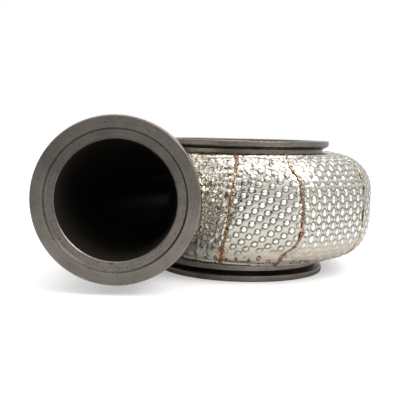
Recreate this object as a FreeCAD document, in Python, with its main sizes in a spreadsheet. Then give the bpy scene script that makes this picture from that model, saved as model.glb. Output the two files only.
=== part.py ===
import FreeCAD, Part
import math
import os
import Sketcher
from FreeCAD import Placement, Rotation, Vector

# Radial turbine housing of a turbocharger: one casting with three clamp flanges, in a fitted jacket of fibre and foil.
# Frame: the turbine axis is Z, with the outlet face at Z 0 and the centre-housing face above it.
# The gas comes in on the -X side, moving along +Y, and turns clockwise seen from above.
# Angles round the scroll are counted along the gas: 0 at -X, 90 at +Y, 180 at +X and 270 at -Y.

SIZES = [
    ("housing_height", 76.2, "outlet face to centre-housing face"),
    ("outlet_lip_radius", 48.5, "clamp lip at the outlet"),
    ("outlet_lip_rim", 3.2, "height of that lip's round rim"),
    ("outlet_groove_radius", 43.8, "floor of the groove above that lip"),
    ("outlet_collar_radius", 45.5, "neck above the groove"),
    ("outlet_collar_low", 5.7, "outlet face to that neck's lower edge"),
    ("neck_step", 42.0, "outlet face to where that neck widens, inside the jacket"),
    ("outlet_bore_radius", 38.0, "three-inch outlet pipe"),
    ("outlet_bore_depth", 12.0, "straight part of the outlet"),
    ("outlet_seat_radius", 41.2, "seat of the outlet pipe's spigot"),
    ("seat_depth", 1.5, "depth of the seats in the outlet and inlet faces"),
    ("exducer_radius", 31.2, "bore round the wheel's tips at its outlet"),
    ("exducer_low", 28.0, "where the outlet cone ends"),
    ("shroud_round", 8.0, "curve from that bore into the nozzle gap"),
    ("nozzle_low", 44.0, "lower wall of the nozzle gap"),
    ("nozzle_height", 11.0, "lower to upper wall of the nozzle gap"),
    ("nozzle_radius", 44.5, "where the nozzle gap meets the gas passage"),
    ("nozzle_overrun", 1.0, "how far the gap is cut into the passage"),
    ("shield_radius", 36.5, "bore for the heat shield"),
    ("pilot_radius", 42.3, "bore that centres the centre housing"),
    ("pilot_depth", 15.2, "that bore, from the centre-housing face to its ledge"),
    ("centre_lip_radius", 50.4, "clamp lip at the centre housing"),
    ("centre_lip_rim", 2.8, "height of that lip's round rim"),
    ("centre_neck_radius", 47.0, "neck below that lip"),
    ("centre_clamp_angle", 30.0, "slope of that lip's back"),
    ("clamp_angle", 20.0, "slope of the other two lips' backs"),
    ("lip_round", 0.7, "rounding of the lips' edges"),
    ("inlet_offset", 65.4, "turbine axis to inlet axis"),
    ("inlet_reach", 90.0, "turbine axis to inlet face"),
    ("inlet_level", 46.6, "inlet axis above the outlet face"),
    ("inlet_lip_radius", 41.25, "clamp lip at the inlet"),
    ("inlet_lip_rim", 3.2, "height of that lip's round rim"),
    ("inlet_neck_radius", 37.4, "neck behind the inlet lip"),
    ("inlet_neck_length", 9.0, "inlet face to the end of the neck"),
    ("inlet_bore_radius", 29.8, "inlet bore"),
    ("inlet_bore_length", 22.0, "straight part of the inlet bore"),
    ("inlet_seat_radius", 35.1, "seat of the manifold's spigot"),
    ("inlet_seat_taper", 1.0, "how much that seat narrows to its floor"),
    ("bore_chamfer", 0.5, "chamfer at the mouth of each bore"),
    ("jacket_level", 39.4, "middle of the jacket over the scroll"),
    ("jacket_half_height", 30.0, "half height of the jacket over the scroll"),
    ("jacket_start_radius", 104.2, "jacket at the start of the scroll"),
    ("jacket_turn_drop", 51.3, "what that radius loses in a full turn"),
    ("jacket_least_radius", 56.2, "jacket at the end of the scroll"),
    ("section_power", 2.85, "squareness of the scroll's section"),
    ("panel_flat", 1.5, "how much the middle of a panel lies inside the curve"),
    ("sleeve_radius", 40.4, "jacket round the inlet"),
    ("sleeve_setback", 11.0, "inlet face to the jacket"),
    ("foil_depth", 1.0, "foil with its dimples"),
    ("mat_thickness", 5.0, "fibre mat at its thinnest"),
    ("layer_gap", 0.3, "clearance between the layers and round the necks"),
    ("casting_wall", 4.4, "wall of the scroll"),
    ("least_width_share", 0.03, "how narrow the gas passage gets, as a share of its width at the start"),
    ("passage_end", 285.0, "angle where the gas passage ends"),
    ("scroll_end", 342.0, "angle where the scroll's outside ends"),
    ("sleeve_overlap", 3.0, "how much further the sleeve makes room for the jacket round the scroll"),
    ("casting_root", 4.0, "how deep the scroll's outside reaches into the necks"),
    ("passage_root", 1.0, "how far the gas passage bulges towards the wheel"),
    ("jacket_root", 14.0, "how deep the sleeve's section reaches into the necks before it is cut there"),
    ("mat_joint", 0.1, "angle in the section from its middle to the edge of either mat"),
    ("seam_width", 3.0, "welded strips over the joints of the panels"),
    ("strip_thickness", 0.6, "those strips and the edge bands"),
    ("strip_clearance", 0.1, "foil to the strips and bands on it"),
    ("upper_band_width", 9.5, "upper edge band, from the neck outwards"),
    ("lower_band_width", 10.5, "lower edge band, from the neck outwards"),
    ("inlet_band_width", 6.0, "band round the jacket at the inlet"),
]
# Where the foil panels meet, as angles round the scroll. The last one runs under the sleeve of the inlet.
PANEL_SEAMS = [0.0, 45.0, 85.0, 125.0, 165.0, 203.0, 243.0, 279.0, 330.0]
QUARTER_STEPS = 7
PANEL_STEPS = 4
SLEEVE_STEPS = 6
BAND_STEPS = 4
SAME_PLACE = 1e-4

doc = FreeCAD.newDocument("turbine_housing")
sheet = doc.addObject("Spreadsheet::Sheet", "Sizes")
for row, (alias, value, note) in enumerate(SIZES, start=1):
    sheet.set(f"A{row}", note)
    sheet.set(f"B{row}", str(value))
    sheet.setAlias(f"B{row}", alias)
doc.recompute()


def size(alias):
    return float(sheet.get(alias))


# The layers of the jacket, as depths under its surface.
MAT_TOP = size("foil_depth") + size("layer_gap")
CASTING_TOP = MAT_TOP + size("mat_thickness") + size("layer_gap")
INWARD = Vector(0, 1, 0)
UP = Vector(0, 0, 1)
INLET_CENTRE = Vector(-size("inlet_offset"), -size("inlet_reach"), size("inlet_level"))


# Sections of the scroll

def scroll_radius(angle):
    """The jacket's radius, which falls evenly along the gas and then stays."""
    falling = size("jacket_start_radius") - size("jacket_turn_drop") * angle / 360
    return max(falling, size("jacket_least_radius"))


def flattening(angle):
    """How far the foil lies inside that radius: nothing at a seam, most in the middle of a panel."""
    for start, end in zip(PANEL_SEAMS, PANEL_SEAMS[1:]):
        if start <= angle <= end:
            return size("panel_flat") * math.sin(math.pi * (angle - start) / (end - start)) ** 2
    return 0.0


def jacket_section(angle, depth):
    """The jacket at an angle, depth under its surface: reach, level, half height, and the two feet on the necks."""
    return (
        scroll_radius(angle) - flattening(angle) - depth,
        size("jacket_level"),
        size("jacket_half_height") - depth,
        size("outlet_collar_radius") + size("layer_gap"),
        size("centre_neck_radius") + size("layer_gap"),
    )


def passage_section(angle, wall):
    """The gas passage at an angle, with a wall round it. It gets lower and climbs to the nozzle as it narrows."""
    depth = size("panel_flat") + CASTING_TOP + size("casting_wall")
    foot = size("nozzle_radius")
    full_width = size("jacket_start_radius") - depth - foot
    width = max(scroll_radius(angle) - depth - foot, full_width * size("least_width_share"))
    full_height = size("jacket_half_height") - CASTING_TOP - size("casting_wall")
    half_height = full_height * math.sqrt(width / full_width)
    nozzle_level = size("nozzle_low") + size("nozzle_height") / 2
    climb = (nozzle_level - size("jacket_level")) * (1 - half_height / full_height)
    return foot + width + wall, size("jacket_level") + climb, half_height + wall, foot, foot


def rounded(value):
    """A sine or cosine raised to the power that squares the section, with its sign."""
    return math.copysign(abs(value) ** (2 / size("section_power")), value)


def section_point(section, turn, root):
    """The radius and level of the point at a turn round a section, 0 at its outer side and 90 at its top."""
    reach, level, half_height, low_foot, high_foot = section
    across = rounded(math.cos(math.radians(turn)))
    upward = rounded(math.sin(math.radians(turn)))
    foot = (low_foot + high_foot) / 2 + (high_foot - low_foot) / 2 * upward
    width = reach - foot if across > 0 else root
    return foot + width * across, level + half_height * upward


def on_scroll(angle, radius, level):
    """A point of the plane through the turbine axis at that angle."""
    turn = math.radians(angle)
    return Vector(-radius * math.cos(turn), radius * math.sin(turn), level)


def curve(points):
    line = Part.BSplineCurve()
    line.interpolate(points)
    return line.toShape()


def turns(start, end, quarter_steps=QUARTER_STEPS):
    """Evenly spaced turns from start to end, as many to a quarter everywhere."""
    count = max(2, round(abs(end - start) / 90 * quarter_steps))
    return [start + (end - start) * step / count for step in range(count + 1)]


def spaced(start, end, steps):
    return [start + (end - start) * step / steps for step in range(steps + 1)]


def scroll_angles(end):
    """The angles of the sections from the start of the scroll to its end, which the seams share."""
    angles = []
    for start, stop in zip(PANEL_SEAMS, PANEL_SEAMS[1:]):
        angles += spaced(start, stop, PANEL_STEPS)[:-1]
    angles.append(PANEL_SEAMS[-1])
    return [angle for angle in angles if angle < end] + [end]


def closed_wire(place):
    """The two halves of a section, where place gives the point at a turn."""
    halves = [curve([place(turn) for turn in turns(start, start + 180)]) for start in (-90, 90)]
    return Part.Wire(halves)


def band_wire(angle, outer, inner, stops):
    """A strip of the section along the turns in stops, from the outer section down to the inner one."""
    rows = []
    for section in (outer, inner):
        rows.append([on_scroll(angle, *section_point(section, turn, 0)) for turn in stops])
    top, bottom = rows
    edges = [
        curve(top),
        Part.makeLine(top[-1], bottom[-1]),
        curve(bottom[::-1]),
        Part.makeLine(bottom[0], top[0]),
    ]
    return Part.Wire(edges)


def band(angles, outer, inner, stops):
    """A solid strip along the scroll, where outer and inner give the sections at an angle and stops the turns."""
    wires = [band_wire(angle, outer(angle), inner(angle), stops(angle)) for angle in angles]
    return Part.makeLoft(wires, True, False)


def scroll_solid(section, root, end):
    """A closed form that follows the scroll from its start."""
    wires = []
    for angle in scroll_angles(end):
        outline = section(angle)
        wires.append(closed_wire(lambda turn: on_scroll(angle, *section_point(outline, turn, root))))
    return Part.makeLoft(wires, True, False)


def sleeve_solid(radius, section, root, setback):
    """A form round the inlet pipe: a cylinder that turns smoothly into the scroll's first section."""
    straight_end = size("inlet_bore_length")
    wires = []
    for distance in [setback] + spaced(straight_end, size("inlet_reach"), SLEEVE_STEPS):
        share = max(0, (distance - straight_end) / (size("inlet_reach") - straight_end))
        share = share * share * (3 - 2 * share)

        def place(turn):
            outward = radius * math.cos(math.radians(turn))
            upward = radius * math.sin(math.radians(turn))
            round_point = INLET_CENTRE + Vector(-outward, distance, upward)
            scroll_point = on_scroll(0, *section_point(section, turn, root))
            scroll_point.y = round_point.y
            return round_point * (1 - share) + scroll_point * share

        wires.append(closed_wire(place))
    return Part.makeLoft(wires, True, False)


def part_from(label, shape):
    part = doc.addObject("Part::Feature", label)
    part.Shape = shape
    part.Placement = Placement()
    part.Label = label
    return part


# Turned profiles

def value_of(text):
    result = sheet.evalExpression(text.replace("Sizes.", ""))
    return float(getattr(result, "Value", result))


def profile(name, corners, placement):
    """A closed sketch of (x, y, edge) corners: x and y are expressions, edge is the way to the next corner."""
    sketch = doc.addObject("Sketcher::SketchObject", name)
    sketch.Placement = placement
    points = [Vector(value_of(x), value_of(y), 0) for x, y, _ in corners]
    for index, (_, _, edge) in enumerate(corners):
        start, end = points[index], points[(index + 1) % len(points)]
        if edge == "quarter":
            centre = Vector(end.x, start.y, 0)
            circle = Part.Circle(centre, UP, abs(end.x - start.x))
            arc = Part.ArcOfCircle(circle, math.pi / 2, math.pi)
            sketch.addGeometry(arc, False)
        else:
            sketch.addGeometry(Part.LineSegment(start, end), False)
    for index, (x, y, edge) in enumerate(corners):
        before = (index - 1) % len(corners)
        arc_before = corners[before][2] == "quarter"
        here = 2 if edge == "quarter" else 1
        sketch.addConstraint(Sketcher.Constraint("Coincident", before, 1 if arc_before else 2, index, here))
        for kind, axis, text, place in (
            ("DistanceX", -2, x, points[index].x),
            ("DistanceY", -1, y, points[index].y),
        ):
            if place == 0:
                sketch.addConstraint(Sketcher.Constraint("PointOnObject", index, here, axis))
                continue
            number = sketch.addConstraint(Sketcher.Constraint(kind, -1, 1, index, here, place))
            sketch.setExpression(f"Constraints[{number}]", text)
        if edge == "quarter":
            sketch.addConstraint(Sketcher.Constraint("Radius", index, abs(points[index + 1].x - points[index].x)))
    return sketch


def turned(name, corners, centre, axis, placement):
    """A solid of revolution. Its sketch has x as the radius and y along the axis."""
    solid = doc.addObject("Part::Revolution", name)
    solid.Source = profile(name + "_profile", corners, placement)
    solid.Base = centre
    solid.Axis = axis
    solid.Angle = 360
    solid.Solid = True
    return solid


def rounded_rims(name, solid, rims, centre, axis):
    """Rounds the circular edges at the given (radius, distance along the axis) pairs."""
    doc.recompute()
    chosen = []
    for number, edge in enumerate(solid.Shape.Edges, start=1):
        if edge.Curve.TypeId != "Part::GeomCircle":
            continue
        height = (edge.Curve.Center - centre).dot(axis)
        for radius, level in rims:
            if abs(edge.Curve.Radius - radius) < SAME_PLACE and abs(height - level) < SAME_PLACE:
                chosen.append((number, size("lip_round"), size("lip_round")))
    fillet = doc.addObject("Part::Fillet", name)
    fillet.Base = solid
    fillet.Edges = chosen
    return fillet


def necks_and_lips():
    """The casting's round middle, with the outlet and centre-housing lips."""
    outlet_slope = "tan(Sizes.clamp_angle * 1 deg)"
    centre_slope = "tan(Sizes.centre_clamp_angle * 1 deg)"
    groove = f"Sizes.outlet_lip_rim + (Sizes.outlet_lip_radius - Sizes.outlet_groove_radius) * {outlet_slope}"
    rim = "Sizes.housing_height - Sizes.centre_lip_rim"
    back = f"{rim} - (Sizes.centre_lip_radius - Sizes.centre_neck_radius) * {centre_slope}"
    corners = [
        ("0", "0", "line"),
        ("Sizes.outlet_lip_radius", "0", "line"),
        ("Sizes.outlet_lip_radius", "Sizes.outlet_lip_rim", "line"),
        ("Sizes.outlet_groove_radius", groove, "line"),
        ("Sizes.outlet_collar_radius", "Sizes.outlet_collar_low", "line"),
        ("Sizes.outlet_collar_radius", "Sizes.neck_step", "line"),
        ("Sizes.centre_neck_radius", "Sizes.neck_step", "line"),
        ("Sizes.centre_neck_radius", back, "line"),
        ("Sizes.centre_lip_radius", rim, "line"),
        ("Sizes.centre_lip_radius", "Sizes.housing_height", "line"),
        ("0", "Sizes.housing_height", "line"),
    ]
    solid = turned("necks", corners, Vector(0, 0, 0), UP, UPRIGHT)
    rims = [
        (size("outlet_lip_radius"), 0),
        (size("outlet_lip_radius"), size("outlet_lip_rim")),
        (size("centre_lip_radius"), size("housing_height")),
        (size("centre_lip_radius"), size("housing_height") - size("centre_lip_rim")),
    ]
    return rounded_rims("necks_with_lips", solid, rims, Vector(0, 0, 0), UP)


def wheel_chamber():
    """Everything bored from the two ends: outlet, wheel bore, nozzle gap and the centre housing's seat."""
    nozzle_high = "Sizes.nozzle_low + Sizes.nozzle_height"
    nozzle_end = "Sizes.nozzle_radius + Sizes.nozzle_overrun"
    ledge = "Sizes.housing_height - Sizes.pilot_depth"
    corners = [
        ("0", "0", "line"),
        ("Sizes.outlet_seat_radius", "0", "line"),
        ("Sizes.outlet_seat_radius", "Sizes.seat_depth", "line"),
        ("Sizes.outlet_bore_radius + Sizes.bore_chamfer", "Sizes.seat_depth", "line"),
        ("Sizes.outlet_bore_radius", "Sizes.seat_depth + Sizes.bore_chamfer", "line"),
        ("Sizes.outlet_bore_radius", "Sizes.outlet_bore_depth", "line"),
        ("Sizes.exducer_radius", "Sizes.exducer_low", "line"),
        ("Sizes.exducer_radius", "Sizes.nozzle_low - Sizes.shroud_round", "quarter"),
        ("Sizes.exducer_radius + Sizes.shroud_round", "Sizes.nozzle_low", "line"),
        (nozzle_end, "Sizes.nozzle_low", "line"),
        (nozzle_end, nozzle_high, "line"),
        ("Sizes.shield_radius", nozzle_high, "line"),
        ("Sizes.shield_radius", ledge, "line"),
        ("Sizes.pilot_radius", ledge, "line"),
        ("Sizes.pilot_radius", "Sizes.housing_height - Sizes.bore_chamfer", "line"),
        ("Sizes.pilot_radius + Sizes.bore_chamfer", "Sizes.housing_height", "line"),
        ("0", "Sizes.housing_height", "line"),
    ]
    return turned("wheel_chamber", corners, Vector(0, 0, 0), UP, UPRIGHT)


def inlet_neck():
    slope = "tan(Sizes.clamp_angle * 1 deg)"
    back = f"Sizes.inlet_lip_rim + (Sizes.inlet_lip_radius - Sizes.inlet_neck_radius) * {slope}"
    corners = [
        ("0", "0", "line"),
        ("Sizes.inlet_lip_radius", "0", "line"),
        ("Sizes.inlet_lip_radius", "Sizes.inlet_lip_rim", "line"),
        ("Sizes.inlet_neck_radius", back, "line"),
        ("Sizes.inlet_neck_radius", "Sizes.inlet_neck_length", "line"),
        ("0", "Sizes.inlet_neck_length", "line"),
    ]
    solid = turned("inlet_neck", corners, INLET_CENTRE, INWARD, FACING)
    rims = [(size("inlet_lip_radius"), 0), (size("inlet_lip_radius"), size("inlet_lip_rim"))]
    return rounded_rims("inlet_neck_with_lip", solid, rims, INLET_CENTRE, INWARD)


def inlet_bore():
    corners = [
        ("0", "0", "line"),
        ("Sizes.inlet_seat_radius", "0", "line"),
        ("Sizes.inlet_seat_radius - Sizes.inlet_seat_taper", "Sizes.seat_depth", "line"),
        ("Sizes.inlet_bore_radius + Sizes.bore_chamfer", "Sizes.seat_depth", "line"),
        ("Sizes.inlet_bore_radius", "Sizes.seat_depth + Sizes.bore_chamfer", "line"),
        ("Sizes.inlet_bore_radius", "Sizes.inlet_bore_length", "line"),
        ("0", "Sizes.inlet_bore_length", "line"),
    ]
    return turned("inlet_bore", corners, INLET_CENTRE, INWARD, FACING)


UPRIGHT = Placement(Vector(0, 0, 0), Rotation(Vector(1, 0, 0), 90))
FACING = Placement(INLET_CENTRE, Rotation())


def casting():
    """The housing itself, with its scroll, cast in one piece."""
    wall = size("casting_wall")
    root = size("casting_root")
    hollow_root = size("passage_root")
    pipe_radius = size("sleeve_radius") - CASTING_TOP
    outer_scroll = scroll_solid(lambda angle: passage_section(angle, wall), root, size("scroll_end"))
    outer_pipe = sleeve_solid(pipe_radius, passage_section(0, wall), root, size("inlet_neck_length") / 2)
    inner_scroll = scroll_solid(lambda angle: passage_section(angle, 0), hollow_root, size("passage_end"))
    bore_middle = size("inlet_bore_length") / 2
    inner_pipe = sleeve_solid(size("inlet_bore_radius"), passage_section(0, 0), hollow_root, bore_middle)

    body = doc.addObject("Part::MultiFuse", "casting_outside")
    body.Shapes = [
        necks_and_lips(),
        inlet_neck(),
        part_from("scroll_outside", outer_scroll),
        part_from("pipe_outside", outer_pipe),
    ]
    hollow = doc.addObject("Part::MultiFuse", "casting_inside")
    hollow.Shapes = [
        wheel_chamber(),
        inlet_bore(),
        part_from("scroll_inside", inner_scroll),
        part_from("pipe_inside", inner_pipe),
    ]
    housing = doc.addObject("Part::Cut", "housing")
    housing.Base = body
    housing.Tool = hollow
    housing.Label = "turbine_housing"
    return housing


# The jacket

def sleeve_form(depth):
    """The outside of the jacket round the inlet, depth under its surface."""
    radius = size("sleeve_radius") - depth
    return sleeve_solid(radius, jacket_section(0, depth), size("jacket_root"), size("sleeve_setback"))


def scroll_form(depth):
    """The jacket round the scroll as one closed form, depth under its surface."""
    end = size("scroll_end") + size("sleeve_overlap")
    return scroll_solid(lambda angle: jacket_section(angle, depth), size("jacket_root"), end)


def neck_room():
    """What the jacket leaves free for the two necks."""
    step = size("neck_step")
    rest = size("housing_height") - step
    below = Part.makeCylinder(size("outlet_collar_radius") + size("layer_gap"), step)
    above = Part.makeCylinder(size("centre_neck_radius") + size("layer_gap"), rest, Vector(0, 0, step))
    return below.fuse(above)


def mat_inside(angle):
    """The inner side of the mats: the casting's outside with a clearance, from foot to foot of the jacket."""
    reach, level, half_height, _, _ = passage_section(angle, size("casting_wall") + size("layer_gap"))
    return (reach, level, half_height) + jacket_section(angle, 0)[3:]


def foil_panels(sleeve):
    """The dimpled foil of the scroll, one panel between each two seams. The last ends against the sleeve."""
    panels = []
    for number, (start, end) in enumerate(zip(PANEL_SEAMS, PANEL_SEAMS[1:]), start=1):
        angles = spaced(start, end, PANEL_STEPS)
        foil = size("foil_depth")
        around = turns(-90, 90)
        shape = band(angles, lambda a: jacket_section(a, 0), lambda a: jacket_section(a, foil), lambda a: around)
        if end == PANEL_SEAMS[-1]:
            shape = shape.cut(sleeve)
        panels.append(part_from(f"foil_panel_{number}", shape))
    return panels


def scroll_mats(pipe):
    """The lower and upper fibre mats between the foil and the scroll, closed against the inlet pipe."""
    mats = []
    joint = size("mat_joint")
    angles = scroll_angles(PANEL_SEAMS[-1])
    for label, start, end in (("lower_fibre_mat", -90, -joint), ("upper_fibre_mat", joint, 90)):
        half = turns(start, end)
        shape = band(angles, lambda a: jacket_section(a, MAT_TOP), mat_inside, lambda a: half)
        mats.append(part_from(label, shape.cut(pipe)))
    return mats


def inlet_layer(label, outer, inner):
    """A layer of the sleeve, open where the scroll's jacket and the necks are."""
    shape = outer
    for room in (inner, scroll_form(size("foil_depth")), neck_room()):
        shape = shape.cut(room)
    return part_from(label, shape)


def band_edge(angle, foot, width):
    """The turn from the middle of the section to the edge of a band that reaches that far out from its foot."""
    share = width / (scroll_radius(angle) - foot)
    return math.degrees(math.acos(share ** (size("section_power") / 2)))


def lower_edge(angle, gap=0.0):
    """The turn of the lower edge band's outer edge, or of a place a gap outside it."""
    foot = size("outlet_collar_radius") + size("layer_gap")
    return -band_edge(angle, foot, size("lower_band_width") + gap)


def upper_edge(angle, gap=0.0):
    """The turn of the upper edge band's outer edge, or of a place a gap outside it."""
    foot = size("centre_neck_radius") + size("layer_gap")
    return band_edge(angle, foot, size("upper_band_width") + gap)


def strip_along(angles, stops):
    """A strip of plain foil that lies on the dimpled one."""
    raised = -size("strip_clearance")
    top = raised - size("strip_thickness")
    return band(angles, lambda a: jacket_section(a, top), lambda a: jacket_section(a, raised), stops)


def seam_strips():
    """The doubled, welded strips over the joints of the panels, between the two edge bands."""
    strips = []
    gap = size("strip_clearance")
    for number, seam in enumerate(PANEL_SEAMS[:-1], start=1):
        half = math.degrees(size("seam_width") / 2 / scroll_radius(seam))
        between = turns(lower_edge(seam - half, gap), upper_edge(seam - half, gap))
        shape = strip_along([seam - half, seam, seam + half], lambda a: between)
        strips.append(part_from(f"seam_strip_{number}", shape))
    return strips


def edge_bands(sleeve):
    """The smooth bands that close the jacket round the outlet neck and the centre-housing neck."""
    bands = []
    angles = scroll_angles(PANEL_SEAMS[-1])
    for label, stops in (
        ("lower_edge_band", lambda a: spaced(-90, lower_edge(a), BAND_STEPS)),
        ("upper_edge_band", lambda a: spaced(upper_edge(a), 90, BAND_STEPS)),
    ):
        bands.append(part_from(label, strip_along(angles, stops).cut(sleeve)))
    return bands


def inlet_band():
    """The smooth band round the jacket's end at the inlet."""
    radius = "Sizes.sleeve_radius + Sizes.strip_clearance"
    rings = []
    for name, text in (("band_outside", f"{radius} + Sizes.strip_thickness"), ("band_inside", radius)):
        ring = doc.addObject("Part::Cylinder", name)
        ring.setExpression("Radius", text)
        ring.setExpression("Height", "Sizes.inlet_band_width")
        middle = INLET_CENTRE + INWARD * size("sleeve_setback")
        ring.Placement = Placement(middle, Rotation(UP, INWARD))
        rings.append(ring)
    band_ring = doc.addObject("Part::Cut", "inlet_band_ring")
    band_ring.Base, band_ring.Tool = rings
    band_ring.Label = "inlet_edge_band"
    return band_ring


def jacket():
    """Every layer of the jacket, each piece a node of its own."""
    outside = sleeve_form(0)
    just_clear = sleeve_form(-size("strip_clearance"))
    pipe_room = sleeve_solid(
        size("sleeve_radius") - CASTING_TOP + size("layer_gap"),
        passage_section(0, size("casting_wall") + size("layer_gap")),
        size("casting_root"),
        size("sleeve_setback"),
    )
    pieces = foil_panels(just_clear)
    pieces.append(inlet_layer("inlet_foil", outside, sleeve_form(size("foil_depth"))))
    pieces += scroll_mats(pipe_room)
    pieces.append(inlet_layer("inlet_fibre_mat", sleeve_form(MAT_TOP), pipe_room))
    pieces += seam_strips()
    pieces += edge_bands(just_clear)
    pieces.append(inlet_band())
    return pieces


def write(pieces):
    """Checks every object and piece, then writes each piece under its own name."""
    doc.recompute()
    for item in doc.Objects:
        if "Invalid" in item.State or "Error" in item.State:
            raise RuntimeError(f"{item.Label}: {item.State}")
    for piece in pieces:
        if piece.Shape.isNull() or not piece.Shape.isValid():
            raise RuntimeError(f"{piece.Label}: bad shape")
    os.makedirs("parts", exist_ok=True)
    for piece in pieces:
        piece.Shape.exportStep(f"parts/{piece.Label}.step")
        solids = piece.Shape.Solids
        print(piece.Label, len(solids), [round(solid.Volume) for solid in solids])


write([casting()] + jacket())
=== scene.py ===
"""Looks of a turbocharger's turbine housing: a machined casting in a jacket of dimpled stainless foil.

Sizes are in millimetres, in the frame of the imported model: the turbine axis is Z and the inlet opens
towards -Y. Angles round the scroll are counted along the gas, from -X over +Y and +X to -Y, which is
clockwise from above. A turn goes round the jacket's section: -90 at the outlet neck, 0 at its outer side,
90 at the centre-housing neck.
"""
import math

import bpy
import numpy as np
from mathutils import Matrix, Vector


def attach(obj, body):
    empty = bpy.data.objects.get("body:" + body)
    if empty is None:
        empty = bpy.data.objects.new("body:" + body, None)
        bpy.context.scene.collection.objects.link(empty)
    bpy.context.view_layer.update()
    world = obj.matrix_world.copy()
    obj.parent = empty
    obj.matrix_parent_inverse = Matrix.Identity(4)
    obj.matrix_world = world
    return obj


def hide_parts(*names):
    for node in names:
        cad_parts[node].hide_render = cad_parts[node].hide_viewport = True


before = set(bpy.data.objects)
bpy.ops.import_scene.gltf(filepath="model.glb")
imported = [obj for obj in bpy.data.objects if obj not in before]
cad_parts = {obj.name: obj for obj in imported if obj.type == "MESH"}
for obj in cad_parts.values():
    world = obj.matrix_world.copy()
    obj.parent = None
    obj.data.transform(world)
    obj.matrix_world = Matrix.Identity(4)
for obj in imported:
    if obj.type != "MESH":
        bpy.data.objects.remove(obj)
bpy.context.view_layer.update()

MM = 0.001

# Camera, fitted to the rims of the three flanges in the photograph

CAMERA_PLACE = (-24.8, -443.0, 81.8)
CAMERA_PITCH = 5.47
CAMERA_ROLL = 1.29
FOCAL_PIXELS = 742
FRAME_PIXELS = 400
SENSOR = 36.0

camera = bpy.data.objects.new("camera", bpy.data.cameras.new("camera"))
camera.data.sensor_width = SENSOR
camera.data.lens = FOCAL_PIXELS / FRAME_PIXELS * SENSOR
camera.data.clip_start = 0.01
camera.matrix_world = (
    Matrix.Translation(Vector(CAMERA_PLACE) * MM)
    @ Matrix.Rotation(math.radians(90 - CAMERA_PITCH), 4, "X")
    @ Matrix.Rotation(math.radians(CAMERA_ROLL), 4, "Z")
)
bpy.context.scene.collection.objects.link(camera)
bpy.context.scene.camera = camera
bpy.context.scene.view_settings.view_transform = "Standard"

# The jacket round the scroll. Seams are angles, and a foot is the radius where a section meets its neck.

PANEL_SEAMS = [0.0, 45.0, 85.0, 125.0, 165.0, 203.0, 243.0, 279.0, 330.0]
LAST_PANEL = len(PANEL_SEAMS) - 2
JACKET_LEVEL = 39.4
JACKET_HALF_HEIGHT = 30.0
JACKET_START_RADIUS = 104.2
JACKET_TURN_DROP = 51.3
JACKET_LEAST_RADIUS = 56.2
OUTLET_FOOT = 45.8
CENTRE_FOOT = 47.3
SECTION_POWER = 2.85
PANEL_FLAT = 1.5
JACKET_ROOT = 14.0

# The inlet and the foil round it, with distances from the inlet's face

INLET_OFFSET = 65.4
INLET_REACH = 90.0
INLET_LEVEL = 46.6
DUCT_RADIUS = 30.5
DUCT_EDGE = 3.2
SLEEVE_RADIUS = 40.4
SLEEVE_SETBACK = 11.0
SLEEVE_STRAIGHT = 22.0
SLEEVE_PRESS = 0.8
SLEEVE_FOLD_SIZE = 3.4
SLEEVE_FOLD_HEIGHT = 0.5
SLEEVE_SWELL_SIZE = 15.0
SLEEVE_SWELL_HEIGHT = 0.4
SCROLL_TRIM = 1.5
SCROLL_TRIM_LEVEL = 1.0

# The edge bands, and the smooth margin of the panels above the lower one. A lap and a trim are in degrees.

LOWER_BAND_WIDTH = 10.5
UPPER_BAND_WIDTH = 9.5
BAND_COLUMNS = 900
BAND_PROUD = 0.1
BAND_LAP = 3.0
BAND_TRIM = 6.0
BAND_SINK = 0.4
RIM_DEPTH = 0.9
RIM_WIDTH = 0.6
MARGIN_ANGLES = (200.0, 250.0)
MARGIN_WIDTHS = (10.5, 18.0)
MARGIN_SHARE = 0.78
MARGIN_RADIUS = 60.0

# The foil's grid, its dimples and the creases between them

GRID_STEP = 0.45
SLEEVE_GRID_STEP = 0.6
SHEET_DEPTH = 0.5
DIMPLE_PITCH = 4.95
DIMPLE_RADIUS = 1.6
DIMPLE_HEIGHT = 0.55
DIMPLE_STRAY = 0.35
GROOVE_WIDTH = 0.3
GROOVE_DEPTH = 0.16
LINK_DEPTH = 0.14
PILLOW_HEIGHT = 0.12

# Crumples: how wide and how high

FOLD_SIZE = 3.2
FINE_FOLD_SIZE = 1.3
FOLD_HEIGHT = 1.6
SWELL_SIZE = 14.0
SWELL_HEIGHT = 0.5
RAGGED_SIZE = 4.0
SPECK_SIZE = 0.8
WRINKLE_LENGTH = 6.0
WRINKLE_WIDTH = 5.0
FINE_WRINKLE_SIZE = 2.0
MARGIN_WRINKLE_HEIGHT = 0.9
BAND_WRINKLE_HEIGHT = 0.7
SEAM_DIP = 0.5
SEAM_DIP_WIDTH = 0.9
# Painted shade darkens the crumpled hollow beside the inlet, about this angle and over this span
HOLLOW_ANGLE = 293.0
HOLLOW_SPAN = 14.0

# Each panel: the turn of its dimple lattice, how narrow its dimples are, how crumpled its shoulder and the
# whole of it are, and how far the foil's rolled rows show between the dimples

PANEL_FOILS = [
    (45.0, 1.2, 0.5, 0.0, 0.6),
    (38.0, 1.0, 0.4, 0.1, 0.0),
    (52.0, 1.0, 0.6, 0.0, 0.0),
    (45.0, 1.2, 0.3, 0.0, 0.6),
    (40.0, 1.0, 0.5, 0.1, 0.0),
    (45.0, 1.3, 0.25, 0.0, 1.0),
    (36.2, 1.0, 0.9, 0.0, 0.0),
    (30.0, 1.0, 0.5, 0.75, 0.0),
]

# Spot welds: how far apart, how large, and how far from the rim

SPOT_SPACING = 6.0
SPOT_RADIUS = 0.8
SPOT_WIDTH = 0.35
SPOT_LEVEL = 2.6
RING_HEIGHT = 0.15
SPOT_DEPTH = 0.2
RING_SCORCH = 0.7
SPOT_SCORCH = 0.25

# Each seam's course: turns, then degrees off its panel joint and half its width there. The seams that aren't
# listed run straight.

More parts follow.
